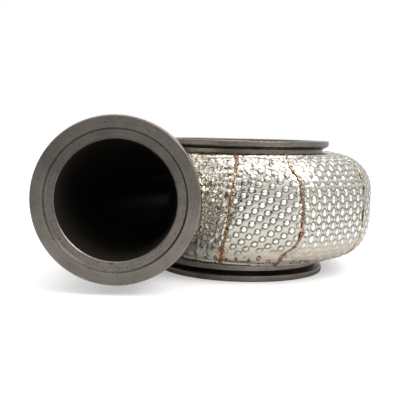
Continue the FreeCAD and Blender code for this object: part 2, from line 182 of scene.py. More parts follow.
STRAIGHT_COURSE = ([-60, 0, 60], [0.5, 0.0, -0.5], [0.9, 0.7, 0.9])
SEAM_COURSES = {
    5: (
        [-60, -15, -5, 4, 24, 34, 44],
        [5.0, 4.2, 3.7, 2.5, 2.2, 2.7, 1.7],
        [0.4, 0.2, 0.3, 0.2, 0.3, 0.5, 0.3],
    ),
    6: (
        [-56, -46, -38, -32, -26, -19, -14, -5, 11, 18, 27, 34, 41, 50, 70],
        [10.0, 10.0, 8.7, 6.5, 4.5, 3.2, 2.5, 2.5, 2.7, 3.2, 3.7, 4.7, 6.2, 7.0, 5.5],
        [1.3, 1.2, 1.4, 1.3, 1.1, 0.8, 0.6, 0.7, 1.3, 1.2, 0.45, 0.35, 0.45, 0.35, 0.5],
    ),
    7: (
        [-62, -45, -34, -25, -18, -12, -6, 0, 6, 15, 25, 36, 47, 67],
        [4.7, 3.7, 3.5, 2.7, 1.7, 1.0, 0.5, -0.4, -0.5, -1.0, -1.7, -2.5, -2.7, -2.7],
        [0.8, 0.7, 1.2, 1.4, 1.2, 0.7, 0.45, 0.8, 0.8, 0.4, 0.5, 0.35, 0.9, 1.1],
    ),
}
SEAM_WANDER = 0.5
WANDER_TURN = 6.0
SEAM_STEP = 0.25
SEAM_COLUMNS = 11
SEAM_BELOW = 25.0
SEAM_ABOVE = 8.0
SEAM_TINTS = ([0.2, 0.5, 1.1], [0.2, 0.45, 0.5])

# The weld beads: how high, their lumps, notched sides and ripples, and how far they rise over the bands

BEAD_HEIGHT = 0.2
BEAD_SINK = 0.1
BEAD_OVER_BAND = 0.7
LUMP_SIZE = 1.3
LUMP_HEIGHT = 0.3
NOTCH_SIZE = 0.8
RIPPLE_SIZE = 0.6
RIPPLE_HEIGHT = 0.45

# The noise repeats after this many cells. A panel adds its number to the first seven seeds.

NOISE_CELLS = 256
FOLD_SEED = 50
FINE_FOLD_SEED = 60
SWELL_SEED = 90
DIMPLE_SEED = 200
RAGGED_SEED = 300
SPECK_SEED = 400
SPOT_SEED = 500
SLEEVE_DIMPLE_SEED = 270
SLEEVE_FOLD_SEED = 71
SLEEVE_SWELL_SEED = 73
WANDER_SEED = 37
LUMP_SEED = 17
NOTCH_SEED = 19
RIPPLE_SEED = 23
MARGIN_SEED = 41
OUTLET_BAND_SEED = 41
CENTRE_BAND_SEED = 43


# Curves

def rise(value, start, end):
    """A straight rise from 0 at the start to 1 at the end, level on both sides."""
    return np.clip((value - start) / (end - start), 0, 1)


def smooth(share):
    """A smooth step: three squares less two cubes."""
    return share * share * (3 - 2 * share)


def mixed(first, second, share):
    """The first where the share is 0, the second where it is 1."""
    return first * (1 - share) + second * share


def bell(value, width):
    """A bell curve: 1 at zero, falling off over the width."""
    return np.exp(-((value / width) ** 2))


def value_noise(x, y, seed):
    """Smooth random heights from 0 to 1: random values on a unit grid, blended by a smooth step each way."""
    table = np.random.default_rng(seed).random((NOISE_CELLS, NOISE_CELLS))
    column, row = np.floor(x).astype(int), np.floor(y).astype(int)
    across, up = smooth(x - column), smooth(y - row)

    def corner(right, above):
        return table[(column + right) % NOISE_CELLS, (row + above) % NOISE_CELLS]

    low = mixed(corner(0, 0), corner(1, 0), across)
    high = mixed(corner(0, 1), corner(1, 1), across)
    return mixed(low, high, up)


def creases(x, y, seed):
    """Crumpled foil from 0 to 1: two layers of noise, each folded at its middle into sharp ridges."""
    large = 1 - np.abs(2 * value_noise(x, y, seed) - 1)
    small = 1 - np.abs(2 * value_noise(2.3 * x + 5.1, 2.3 * y + 1.7, seed + 1) - 1)
    return 0.65 * large + 0.35 * small


def wrinkles(coarse, fine, seed):
    """Slight wrinkles about zero: coarse creases with finer ones on them, each read at its own x and y."""
    return 0.6 * creases(*coarse, seed) + 0.4 * creases(*fine, seed + 1) - 0.5


# Surfaces

def signed_power(value):
    """A sine or cosine raised to the power that squares the section, keeping its sign."""
    return np.sign(value) * np.abs(value) ** (2 / SECTION_POWER)


def scroll_radius(angle):
    """The jacket's radius: it falls evenly along the gas, then stays."""
    return np.maximum(JACKET_START_RADIUS - JACKET_TURN_DROP * angle / 360, JACKET_LEAST_RADIUS)


def flattening(angle):
    """Depth of the foil inside that radius: nothing at a seam, the square of a sine in between."""
    seams = np.array(PANEL_SEAMS)
    number = np.clip(np.searchsorted(seams, angle, side="right") - 1, 0, LAST_PANEL)
    share = (angle - seams[number]) / (seams[number + 1] - seams[number])
    return PANEL_FLAT * np.sin(np.pi * share) ** 2


def section_point(angle, turn, depth):
    """Radius and level of the jacket at a turn: a squared ellipse from foot to foot, less the depth."""
    across = signed_power(np.cos(np.radians(turn)))
    upward = signed_power(np.sin(np.radians(turn)))
    foot = (OUTLET_FOOT + CENTRE_FOOT) / 2 + (CENTRE_FOOT - OUTLET_FOOT) / 2 * upward
    width = scroll_radius(angle) - flattening(angle) - depth - foot
    width = np.where(across > 0, width, JACKET_ROOT)
    return foot + width * across, JACKET_LEVEL + (JACKET_HALF_HEIGHT - depth) * upward


def on_scroll(angle, radius, level):
    """The point at that angle round the turbine axis."""
    turned = np.radians(angle)
    return np.stack([-radius * np.cos(turned), radius * np.sin(turned), level + 0 * radius], axis=-1)


def jacket_surface(angle, turn, depth):
    """The jacket round the scroll, a function of the angle and the turn."""
    return on_scroll(angle, *section_point(angle, turn, depth))


def sleeve_surface(distance, turn, depth):
    """The jacket round the inlet: a cylinder, blended by a smooth step into the scroll's first section."""
    share = smooth(rise(distance, SLEEVE_STRAIGHT, INLET_REACH))[..., None]
    radius = SLEEVE_RADIUS - depth
    along = distance - INLET_REACH
    right = -INLET_OFFSET - radius * np.cos(np.radians(turn))
    above = INLET_LEVEL + radius * np.sin(np.radians(turn))
    round_point = np.stack([right, along, above], axis=-1)
    scroll_point = on_scroll(0 * turn, *section_point(0 * turn, turn, depth))
    scroll_point[..., 1] = along
    return mixed(round_point, scroll_point, share)


# Meshes

def surface_normals(points):
    """Unit normals of a grid of points, from the cross product of its two directions."""
    normal = np.cross(np.gradient(points, axis=0), np.gradient(points, axis=1))
    return normal / np.maximum(np.linalg.norm(normal, axis=-1, keepdims=True), 1e-9)


def raised(base, outward, height):
    """The base grid moved along its own normals by the height, on the side of the outward vectors."""
    normal = surface_normals(base)
    side = np.sign(np.sum(normal * outward, axis=-1).mean())
    return base + side * normal * height[..., None]


def grid_piece(name, points, outward, layers, keep=None):
    """A mesh of a grid of points, facing outward, with a value a point for each layer.

    keep marks the points that stay.
    """
    index = np.arange(points[..., 0].size).reshape(points.shape[:2])
    quads = np.stack([index[:-1, :-1], index[1:, :-1], index[1:, 1:], index[:-1, 1:]], axis=-1)
    quads = quads.reshape(-1, 4)
    if keep is not None:
        quads = quads[keep.reshape(-1)[quads].all(axis=1)]
    flat = points.reshape(-1, 3)
    corner = flat[quads]
    facing = np.cross(corner[:, 2] - corner[:, 0], corner[:, 3] - corner[:, 1])
    if np.sum(facing * outward.reshape(-1, 3)[quads[:, 0]]) < 0:
        quads = quads[:, ::-1]
    used, quads = np.unique(quads, return_inverse=True)
    quads = quads.reshape(-1, 4)
    mesh = bpy.data.meshes.new(name)
    mesh.from_pydata((flat[used] * MM).tolist(), [], quads.tolist())
    mesh.polygons.foreach_set("use_smooth", np.ones(len(mesh.polygons), dtype=bool))
    for label, values in layers.items():
        attribute = mesh.attributes.new(label, "FLOAT", "POINT")
        attribute.data.foreach_set("value", values.reshape(-1)[used].astype(np.float32))
    mesh.update()
    piece = bpy.data.objects.new(name, mesh)
    bpy.context.scene.collection.objects.link(piece)
    return piece


def even_turns(angle, start, end, step):
    """Turns from start to end that are evenly spaced along the section at an angle, and those lengths."""
    fine = np.linspace(-90, 90, 4000)
    radius, level = section_point(np.full_like(fine, angle), fine, 0)
    length = np.concatenate([[0], np.cumsum(np.hypot(np.diff(radius), np.diff(level)))])
    length = length - np.interp(0, fine, length)
    low, high = np.interp([start, end], fine, length)
    wanted = np.linspace(low, high, max(3, round((high - low) / step)))
    return np.interp(wanted, length, fine), wanted


def from_ring(points):
    """Rough outward directions of the scroll's jacket: away from a ring inside its section."""
    radius = np.hypot(points[..., 0], points[..., 1])[..., None]
    ring = points / np.maximum(radius, 1e-6) * OUTLET_FOOT
    ring[..., 2] = JACKET_LEVEL
    return points - ring


# Where the foil ends

def band_turn(angle, foot, out):
    """The turn at a distance out from the foot of a section."""
    return np.degrees(np.arccos((out / (scroll_radius(angle) - foot)) ** (SECTION_POWER / 2)))


def lower_edge(angle):
    """The turn where the lower edge band begins."""
    return -band_turn(angle, OUTLET_FOOT, LOWER_BAND_WIDTH)


def upper_edge(angle):
    """The turn where the upper edge band begins."""
    return band_turn(angle, CENTRE_FOOT, UPPER_BAND_WIDTH)


def past_band(angle, turn):
    """How many degrees a turn lies past the inner edge of the lower or the upper band."""
    return np.maximum(lower_edge(angle) - turn, turn - upper_edge(angle))


def margin_out(angle):
    """How far the smooth lower margin reaches out from the neck.

    It widens towards the scroll's end, and never takes more than a share of the foil's own reach.
    """
    widths = np.interp(angle, MARGIN_ANGLES, MARGIN_WIDTHS)
    return np.minimum(widths, MARGIN_SHARE * (scroll_radius(angle) - OUTLET_FOOT))


def outside_sleeve(points):
    """Which points lie outside the jacket round the inlet.

    Its section at a point's distance is a closed line, read from sections 1 mm apart. A level ray from a
    point inside that line crosses it an odd number of times.
    """
    near = (points[..., 1] < 0) & (points[..., 0] < 0)
    x, y, z = points[near].T[..., None]
    stations = np.arange(INLET_REACH + 1)
    distance, turn = np.meshgrid(stations, np.linspace(-180, 180, 145), indexing="ij")
    skin = sleeve_surface(distance, turn, SHEET_DEPTH + BAND_PROUD)
    before = np.clip((y + INLET_REACH).astype(int)[:, 0], 0, len(stations) - 2)
    share = y + INLET_REACH - before[:, None]
    line_x = mixed(skin[before, :, 0], skin[before + 1, :, 0], share)
    line_z = mixed(skin[before, :, 2], skin[before + 1, :, 2], share)
    crossed = np.diff(line_z > z, axis=1)
    slope = np.diff(line_x, axis=1) / np.where(crossed, np.diff(line_z, axis=1), 1)
    ahead = line_x[:, :-1] + (z - line_z[:, :-1]) * slope > x
    outside = np.ones(points.shape[:2], dtype=bool)
    outside[near] = np.sum(crossed & ahead, axis=1) % 2 == 0
    return outside


def outside_scroll(points):
    """Which points lie outside the necks, and outside a squared ellipse a little within the jacket."""
    radius = np.hypot(points[..., 0], points[..., 1])
    angle = np.degrees(np.arctan2(points[..., 1], -points[..., 0])) % 360
    upward = (points[..., 2] - JACKET_LEVEL) / (JACKET_HALF_HEIGHT - SCROLL_TRIM_LEVEL)
    across = (1 - np.abs(np.clip(upward, -1, 1)) ** SECTION_POWER) ** (1 / SECTION_POWER)
    foot = np.where(upward > 0, CENTRE_FOOT, OUTLET_FOOT)
    reach = foot + (scroll_radius(angle) - SCROLL_TRIM - foot) * across
    return ((radius >= reach) | (angle <= 270)) & (radius > foot)


# Foil. Its layers say how scorched each point is, how much painted highlight it gets, and how deep in a
# crease it is, which sets its painted crease shade.

def seam_path(number, turn):
    """The angle of a seam at a turn: its course, with a small wander."""
    turns, shifts, _ = SEAM_COURSES.get(number, STRAIGHT_COURSE)
    wander = value_noise(turn / WANDER_TURN + 3.1 * number + 5, 0 * turn + 0.5, WANDER_SEED) - 0.5
    return PANEL_SEAMS[number] + np.interp(turn, turns, shifts) + SEAM_WANDER * wander


def dimples(across, along, lattice_turn, narrow, rows, seed):
    """Pressed dimples on a square lattice, each a cap in a fine groove, with a low pillow between them.

    A cap is 1 less the square of the distance from its middle. A fine crease joins the caps of a row, and
    level creases run between the rows where rows is above 0. Gives the height, how far up a cap a point is,
    which sets the painted highlight, and how deep in a crease, which sets the painted crease shade.
    """
    sine, cosine = math.sin(math.radians(lattice_turn)), math.cos(math.radians(lattice_turn))
    first = (across * cosine + along * sine) / DIMPLE_PITCH
    second = (along * cosine - across * sine) / DIMPLE_PITCH
    column, row = np.round(first), np.round(second)
    odd = np.random.default_rng(seed).random((3, NOISE_CELLS, NOISE_CELLS)) - 0.5
    odd = odd[:, column.astype(int) % NOISE_CELLS, row.astype(int) % NOISE_CELLS]
    to_first = (first - column) * DIMPLE_PITCH + DIMPLE_STRAY * odd[0]
    to_second = (second - row) * DIMPLE_PITCH + DIMPLE_STRAY * odd[1]
    beside = to_first * cosine - to_second * sine
    above = to_first * sine + to_second * cosine
    distance = np.hypot(beside * narrow, above / narrow)
    radius = DIMPLE_RADIUS * (1 + 0.2 * rows + 0.2 * odd[2])
    crest = np.clip(1 - (distance / radius) ** 2, 0, 1)
    groove = bell(distance - radius, GROOVE_WIDTH)

    link = (1 - rows) * bell((second - row) * DIMPLE_PITCH, GROOVE_WIDTH)
    row_pitch = DIMPLE_PITCH / math.sqrt(2)
    from_row = (along / row_pitch - np.floor(along / row_pitch) - 0.5) * row_pitch
    between_rows = 0.55 * rows * bell(from_row, 0.8 * GROOVE_WIDTH)
    line = np.maximum(link, between_rows) * (distance > radius)

    pillow = (np.sin(np.pi * first) * np.sin(np.pi * second)) ** 2
    height = DIMPLE_HEIGHT * crest + PILLOW_HEIGHT * pillow - GROOVE_DEPTH * groove - LINK_DEPTH * line
    steep = np.abs(above) / np.maximum(np.hypot(beside, above), 1e-6)
    crease_shade = np.maximum(groove * (1 - 0.5 * rows * (1 - steep)), line)
    return height, crest, crease_shade


def spot_welds(along, to_rim, seed):
    """Spot welds in a row beside a rim, spread a little: a bell about a ring, and a bell about its middle.

    Gives the height and the scorch.
    """
    number = np.round(along / SPOT_SPACING)
    odd = np.random.default_rng(seed).random((3, NOISE_CELLS))[:, number.astype(int) % NOISE_CELLS] - 0.5
    level = SPOT_LEVEL * (1 + 0.9 * odd[0])
    away = np.hypot((along / SPOT_SPACING - number) * SPOT_SPACING + 2.0 * odd[1], to_rim - level)
    ring, spot = bell(away - SPOT_RADIUS * (1 + 0.5 * odd[2]), SPOT_WIDTH), bell(away, SPOT_RADIUS)
    return RING_HEIGHT * ring - SPOT_DEPTH * spot, RING_SCORCH * ring + SPOT_SCORCH * spot


def panel_points(number):
    """A panel's grid: turns that are even along the section, by shares of the way from seam to seam.

    Gives the angle, the turn, the length along the section and across it, and the distance to a seam.
    """
    first, last = PANEL_SEAMS[number], PANEL_SEAMS[number + 1]
    middle = (first + last) / 2
    start_turn, end_turn = lower_edge(first) - BAND_LAP, upper_edge(first) + BAND_LAP
    turns, lengths = even_turns(middle, start_turn, end_turn, GRID_STEP)
    belly = math.radians(last - first) * float(scroll_radius(middle))
    turn, share = np.meshgrid(turns, np.linspace(0, 1, round(belly / GRID_STEP)), indexing="ij")
    along = np.repeat(lengths[:, None], turn.shape[1], axis=1)
    start = first if number == 0 else seam_path(number, turn)
    end = last if number == LAST_PANEL else seam_path(number + 1, turn)
    angle = start + (end - start) * share
    radius, _ = section_point(angle, turn, SHEET_DEPTH)
    across = -np.radians(angle - middle) * radius
    to_seam = np.minimum(share, 1 - share) * np.radians(end - start) * radius
    return angle, turn, along, across, to_seam


def foil_panel(number):
    """One panel of the jacket, raised by its dimples and crumples.

    The height is the dimples, flatter where the foil is loose, plus folds where it is loose, plus a slow
    swell, less a dip beside the seams. The foil is loose beside its seams and on its shoulder. Its lower
    margin is only wrinkled and spot-welded, and under the edge bands it sinks flat.
    """
    lattice_turn, narrow, top, all_over, rows = PANEL_FOILS[number]
    angle, turn, along, across, to_seam = panel_points(number)
    base = jacket_surface(angle, turn, SHEET_DEPTH)
    press, crest, groove = dimples(across, along, lattice_turn, narrow, rows, DIMPLE_SEED + number)

    ragged = value_noise(across / RAGGED_SIZE + 9, along / RAGGED_SIZE + 2 * number, RAGGED_SEED + number)
    loose = bell(to_seam, 1.5 + 4.5 * ragged) + top * rise(turn, 15, 40) * (0.4 + 1.2 * ragged) + all_over
    loose = np.clip(loose, 0, 1)
    coarse = creases(across / FOLD_SIZE + 13.1 * number, along / FOLD_SIZE, FOLD_SEED + number)
    fine = creases(across / FINE_FOLD_SIZE, along / FINE_FOLD_SIZE + 7.7 * number, FINE_FOLD_SEED + number)
    fold = 0.7 * coarse + 0.3 * fine - 0.5
    swell = value_noise(across / SWELL_SIZE + 3.7 * number, along / SWELL_SIZE, SWELL_SEED + number) - 0.5
    height = press * (1 - 0.6 * loose) + FOLD_HEIGHT * loose * fold + SWELL_HEIGHT * swell
    height -= SEAM_DIP * bell(to_seam, SEAM_DIP_WIDTH)

    into_margin = margin_out(angle) + OUTLET_FOOT - np.hypot(base[..., 0], base[..., 1])
    margin = rise(into_margin, -0.4, 0.4) * (turn < 0)
    weld_height, weld_scorch = spot_welds(np.radians(angle) * MARGIN_RADIUS, into_margin, SPOT_SEED + number)
    coarse = (across / WRINKLE_LENGTH, along / WRINKLE_WIDTH)
    fine = (across / FINE_WRINKLE_SIZE, along / FINE_WRINKLE_SIZE)
    wrinkle = wrinkles(coarse, fine, MARGIN_SEED)
    height = mixed(height, MARGIN_WRINKLE_HEIGHT * wrinkle + weld_height, margin)
    past = past_band(angle, turn)
    height = mixed(height, -BAND_SINK, rise(past, 0, BAND_LAP))

    # The foot is tinted and its caps get less painted highlight, and beside the inlet painted shade darkens
    # the crumpled hollow. On the shoulder the painted highlight falls on the foil between the caps.
    foot = rise(-turn, 15, 35)
    hollow_shade = bell(angle - HOLLOW_ANGLE, HOLLOW_SPAN) * rise(-turn, 5, 25)
    seam_tint = bell(to_seam, (0.35 + 0.9 * ragged**2) * (1 + 1.5 * foot)) * (0.5 + 0.15 * foot)
    specks = rise(value_noise(across / SPECK_SIZE, along / SPECK_SIZE, SPECK_SEED + number), 0.75, 1.15)
    tints = [seam_tint, specks * bell(to_seam, 4.5) * loose, 0.16 * foot * (1 - hollow_shade), margin * weld_scorch]
    # Painted highlight: white caps, and on the shoulder the foil between the caps
    high = rise(turn, 8, 22) * (1 - loose)
    painted_highlight = crest * (1 - 0.5 * loose) * (1 - 0.7 * foot) * (1 - high) + 0.5 * high * (1 - crest)
    # Painted shade along the fold ridges, in the creases round the caps and in the margin's wrinkles
    fold_shade = 1.2 * loose * bell(fold + 0.05, 0.04)
    crease_shade = np.maximum(groove * (1 - 0.4 * loose) * (1 - 0.75 * foot * rows), fold_shade)
    crease_shade = np.maximum(crease_shade, 0.85 * hollow_shade * rise(-fold, -0.125, 0.125))
    layers = {
        "scorch": np.maximum.reduce(tints),
        "painted_highlight": painted_highlight * (1 - margin),
        "crease_shade": mixed(crease_shade, bell(wrinkle + 0.1, 0.05), margin),
    }

    outward = from_ring(base)
    keep = past < BAND_TRIM
    if number == LAST_PANEL:
        keep &= outside_sleeve(base)
    return grid_piece(f"dimpled_panel_{number + 1}", raised(base, outward, height), outward, layers, keep)


def sleeve_skin():
    """The foil round the inlet: the sleeve's surface, raised by dimples, folds and a slow swell."""
    distances = np.arange(SLEEVE_SETBACK, INLET_REACH + 0.01, SLEEVE_GRID_STEP)
    steps = round(2 * math.pi * SLEEVE_RADIUS / SLEEVE_GRID_STEP)
    distance, turn = np.meshgrid(distances, np.linspace(-180, 180, steps + 1), indexing="ij")
    base = sleeve_surface(distance, turn, SHEET_DEPTH)
    along = np.radians(turn) * SLEEVE_RADIUS
    press, crest, crease_shade = dimples(distance, along, 45.0, 1.0, 0.0, SLEEVE_DIMPLE_SEED)
    fold = creases(distance / SLEEVE_FOLD_SIZE, along / SLEEVE_FOLD_SIZE, SLEEVE_FOLD_SEED) - 0.5
    swell = value_noise(distance / SLEEVE_SWELL_SIZE, along / SLEEVE_SWELL_SIZE, SLEEVE_SWELL_SEED) - 0.5
    height = SLEEVE_PRESS * press + SLEEVE_FOLD_HEIGHT * fold + SLEEVE_SWELL_HEIGHT * swell
    height[:, -1] = height[:, 0]
    middle = (sleeve_surface(distance, 0 * turn, 0) + sleeve_surface(distance, 0 * turn + 180, 0)) / 2
    outward = base - middle
    # The sleeve's caps get a painted highlight, and their grooves get painted shade
    layers = {"scorch": 0 * height, "painted_highlight": crest, "crease_shade": crease_shade}
    return grid_piece("sleeve_foil", raised(base, outward, height), outward, layers, outside_scroll(base))


def weld_seam(number):
    """A welded seam: a low bead along the seam's path, with lumps and a ragged width.

    The bead is the root of 1 less the square of the way to its side, plus a ripple.
    """
    joint = PANEL_SEAMS[number]
    start_turn, end_turn = lower_edge(joint) - SEAM_BELOW, upper_edge(joint) + SEAM_ABOVE
    turns, lengths = even_turns(joint, start_turn, end_turn, SEAM_STEP)
    turn, side = np.meshgrid(turns, np.linspace(-1, 1, SEAM_COLUMNS), indexing="ij")
    along = np.repeat(lengths[:, None], turn.shape[1], axis=1)
    course_turns, _, half_widths = SEAM_COURSES.get(number, STRAIGHT_COURSE)
    broad = np.interp(turn, course_turns, half_widths)
    lump = value_noise(along / LUMP_SIZE, 0 * along + number * 3.3, LUMP_SEED)
    notch = value_noise(along / NOTCH_SIZE, np.sign(side) * 2.5 + number * 5.7, NOTCH_SEED)
    ripple = value_noise(along / RIPPLE_SIZE, side * 2.5 + 9.1 * number, RIPPLE_SEED) - 0.5
    path = seam_path(number, turn)
    radius, _ = section_point(path, turn, 0)
    angle = path + np.degrees(side * broad * (0.15 + 0.6 * lump + 1.1 * notch) / radius)
    bead = (BEAD_HEIGHT + LUMP_HEIGHT * lump) * np.sqrt(np.maximum(1 - side**2, 0))
    height = bead + RIPPLE_HEIGHT * ripple
    on_band = rise(past_band(angle, turn), -1, 0)
    base = jacket_surface(angle, turn, SHEET_DEPTH + BEAD_SINK - BEAD_OVER_BAND * on_band)
    scorch = np.interp(broad, *SEAM_TINTS) + 0.45 * ripple
    scorch += 0.7 * np.clip(broad - 0.5, 0, 0.6) * (1 - np.abs(side))
    # Painted shade along the ripples of the bead
    layers = {"scorch": scorch, "painted_highlight": 0 * height, "crease_shade": 0.8 * bell(ripple, 0.08)}
    outward = from_ring(base)
    keep = outside_sleeve(base) if number == LAST_PANEL else None
    return grid_piece(f"weld_seam_{number + 1}", raised(base, outward, height), outward, layers, keep)


def edge_band(name, side, foot, width, seed):
    """A smooth band round one edge of the jacket, slightly wrinkled, spot-welded and turned in at its rim.

    Its height is the wrinkles and the welds, less a bell about the rim.
    """
    angles = np.linspace(0, PANEL_SEAMS[-1], BAND_COLUMNS)
    angle, out = np.meshgrid(angles, np.linspace(0, width, round(width / GRID_STEP)), indexing="ij")
    base = jacket_surface(angle, side * band_turn(angle, foot, out), -BAND_PROUD)
    along = np.concatenate([[0], np.cumsum(np.radians(np.diff(angles)) * (foot + width))])
    along = np.repeat(along[:, None], out.shape[1], axis=1)
    to_rim = width - out
    coarse = (along / WRINKLE_LENGTH, out / WRINKLE_LENGTH + 3)
    fine = (along / FINE_WRINKLE_SIZE, out / FINE_WRINKLE_SIZE)
    wrinkle = wrinkles(coarse, fine, seed)
    weld_height, weld_scorch = spot_welds(along, to_rim, seed)
    height = BAND_WRINKLE_HEIGHT * wrinkle + weld_height - RIM_DEPTH * bell(to_rim, RIM_WIDTH)
    # Painted shade at the turned-in rim and in the wrinkles
    crease_shade = np.maximum(0.5 * bell(to_rim, 0.4), 0.8 * bell(wrinkle + 0.1, 0.04))
    layers = {"scorch": weld_scorch, "painted_highlight": 0 * height, "crease_shade": crease_shade}
    outward = from_ring(base)
    return grid_piece(name, raised(base, outward, height), outward, layers, outside_sleeve(base))


def dress(piece, node):
    """Carries a piece on the housing in place of its solid."""
    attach(piece, "root")
    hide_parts(node)
    return piece


panels = range(LAST_PANEL + 1)
foil_pieces = [dress(foil_panel(number), f"foil_panel_{number + 1}") for number in panels]
foil_pieces.append(dress(sleeve_skin(), "inlet_foil"))
foil_pieces += [dress(weld_seam(number), f"seam_strip_{number + 1}") for number in panels]
outlet_band = edge_band("outlet_side_band", -1, OUTLET_FOOT, LOWER_BAND_WIDTH, OUTLET_BAND_SEED)
foil_pieces.append(dress(outlet_band, "lower_edge_band"))
centre_band = edge_band("centre_side_band", 1, CENTRE_FOOT, UPPER_BAND_WIDTH, CENTRE_BAND_SEED)
foil_pieces.append(dress(centre_band, "upper_edge_band"))


# Materials

def linear(colour):
    """An sRGB hex colour as linear red, green, blue and alpha."""
    parts = [int(colour[place : place + 2], 16) / 255 for place in (1, 3, 5)]
    return [part / 12.92 if part <= 0.04045 else ((part + 0.055) / 1.055) ** 2.4 for part in parts] + [1]


def grains(size):
    """The scale of a noise whose grains are of a size in millimetres."""
    return 1 / (size * MM)


def add(tree, kind, sockets=None, stops=(), **settings):
    """Adds a node with its settings and links, and gives its outputs.

    Sockets go by name or number, and a socket's value is a number, a colour or another node's output. The
    stops of a ramp are positions and hex colours.
    """
    node = tree.nodes.new(kind)
    for name, value in settings.items():
        setattr(node, name, value)
    for name, value in (sockets or {}).items():
        if isinstance(value, bpy.types.NodeSocket):
            tree.links.new(value, node.inputs[name])
        else:
            node.inputs[name].default_value = value
    if stops:
        elements = node.color_ramp.elements
        elements.remove(elements[1])
        elements[0].position, elements[0].color = stops[0][0], linear(stops[0][1])
        for position, colour in stops[1:]:
            elements.new(position).color = linear(colour)
    return node.outputs


def new_material(name):
    """A material with an empty tree."""
    material = bpy.data.materials.new(name)
    material.use_nodes = True
    material.node_tree.nodes.clear()
    return material, material.node_tree


WELD_TINTS = [
    (0.30, "#CDB58C"),
    (0.45, "#AE8252"),
    (0.60, "#7E5A40"),
    (0.74, "#574347"),
    (0.86, "#615D70"),
    (1.0, "#85807A"),
]


def bright_foil():
    """Bright-rolled stainless foil: a mirror that pressing left dull in its creases, where painted shade
    darkens it, with painted highlights on its caps and tinted by welding.
    """
    material, tree = new_material("bright_rolled_stainless_foil")
    place = add(tree, "ShaderNodeTexCoord")["Object"]
    scorch = add(tree, "ShaderNodeAttribute", attribute_name="scorch")["Fac"]
    painted_highlight = add(tree, "ShaderNodeAttribute", attribute_name="painted_highlight")["Fac"]
    crease_shade = add(tree, "ShaderNodeAttribute", attribute_name="crease_shade")["Fac"]

    # Straw, brown and blue heat tints in patches about a millimetre wide
    patches = add(tree, "ShaderNodeTexNoise", {"Vector": place, "Scale": grains(0.9), "Detail": 3.0})["Fac"]
    patches = add(tree, "ShaderNodeMath", {0: patches, 1: 0.5}, operation="SUBTRACT")[0]
    burnt = add(tree, "ShaderNodeMath", {0: patches, 1: 1.3, 2: scorch}, operation="MULTIPLY_ADD")[0]
    tint = add(tree, "ShaderNodeValToRGB", {"Fac": burnt}, WELD_TINTS)["Color"]
    shown = add(tree, "ShaderNodeMapRange", {"Value": burnt, "From Min": 0.18, "From Max": 0.42})[0]

    # Bare foil: painted highlights make the caps white, it is greyer between them, and painted shade darkens
    # the creases
    highlight_share = add(tree, "ShaderNodeMapRange", {"Value": painted_highlight, "From Min": 0.3, "From Max": 0.6})[0]
    sockets = {0: highlight_share, 6: linear("#C2BEB4"), 7: linear("#F4F2EE")}
    bare = add(tree, "ShaderNodeMix", sockets, data_type="RGBA")[2]
    bare = add(tree, "ShaderNodeMix", {0: crease_shade, 6: bare, 7: linear("#2E2C28")}, data_type="RGBA")[2]
    colour = add(tree, "ShaderNodeMix", {0: shown, 6: bare, 7: tint}, data_type="RGBA")[2]

    # Rolling grain, drawn as coarse as it needs to show
    grain = add(tree, "ShaderNodeTexNoise", {"Vector": place, "Scale": grains(0.7), "Detail": 4.0})["Fac"]
    bump = add(tree, "ShaderNodeBump", {"Height": grain, "Strength": 0.15, "Distance": 0.2 * MM})["Normal"]
    dull = add(tree, "ShaderNodeMath", {0: crease_shade, 1: shown}, operation="MAXIMUM")[0]
    roughness = add(tree, "ShaderNodeMath", {0: dull, 1: 0.2, 2: 0.08}, operation="MULTIPLY_ADD")[0]
    sockets = {"Base Color": colour, "Metallic": 1.0, "Roughness": roughness, "Normal": bump}
    shader = add(tree, "ShaderNodeBsdfPrincipled", sockets)["BSDF"]
    add(tree, "ShaderNodeOutputMaterial", {"Surface": shader})
    return material


def turned_rings(tree, place):
    """A place for turning marks: the radius from a flange's own axis, and the distance along it.

    Gives that place and the radius from the inlet's axis.
    """
    across, back, up = add(tree, "ShaderNodeSeparateXYZ", {0: place})
    flat = add(tree, "ShaderNodeCombineXYZ", {"X": across, "Y": back})[0]
    wheel_radius = add(tree, "ShaderNodeVectorMath", {0: flat}, operation="LENGTH")["Value"]
    wheel_rings = add(tree, "ShaderNodeCombineXYZ", {"X": wheel_radius, "Y": up})[0]
    inlet_middle = (-INLET_OFFSET * MM, 0, INLET_LEVEL * MM)
    centred = add(tree, "ShaderNodeVectorMath", {0: place, 1: inlet_middle}, operation="SUBTRACT")[0]
    across_inlet, _, up_inlet = add(tree, "ShaderNodeSeparateXYZ", {0: centred})
    flat = add(tree, "ShaderNodeCombineXYZ", {"X": across_inlet, "Y": up_inlet})[0]
    inlet_radius = add(tree, "ShaderNodeVectorMath", {0: flat}, operation="LENGTH")["Value"]
    inlet_rings = add(tree, "ShaderNodeCombineXYZ", {"X": inlet_radius, "Y": back})[0]
    inlet_end = (SLEEVE_STRAIGHT - INLET_REACH) * MM
    at_inlet = add(tree, "ShaderNodeMath", {0: back, 1: inlet_end}, operation="LESS_THAN")[0]
    rings = add(tree, "ShaderNodeMix", {0: at_inlet, 4: wheel_rings, 5: inlet_rings}, data_type="VECTOR")[1]
    return rings, inlet_radius


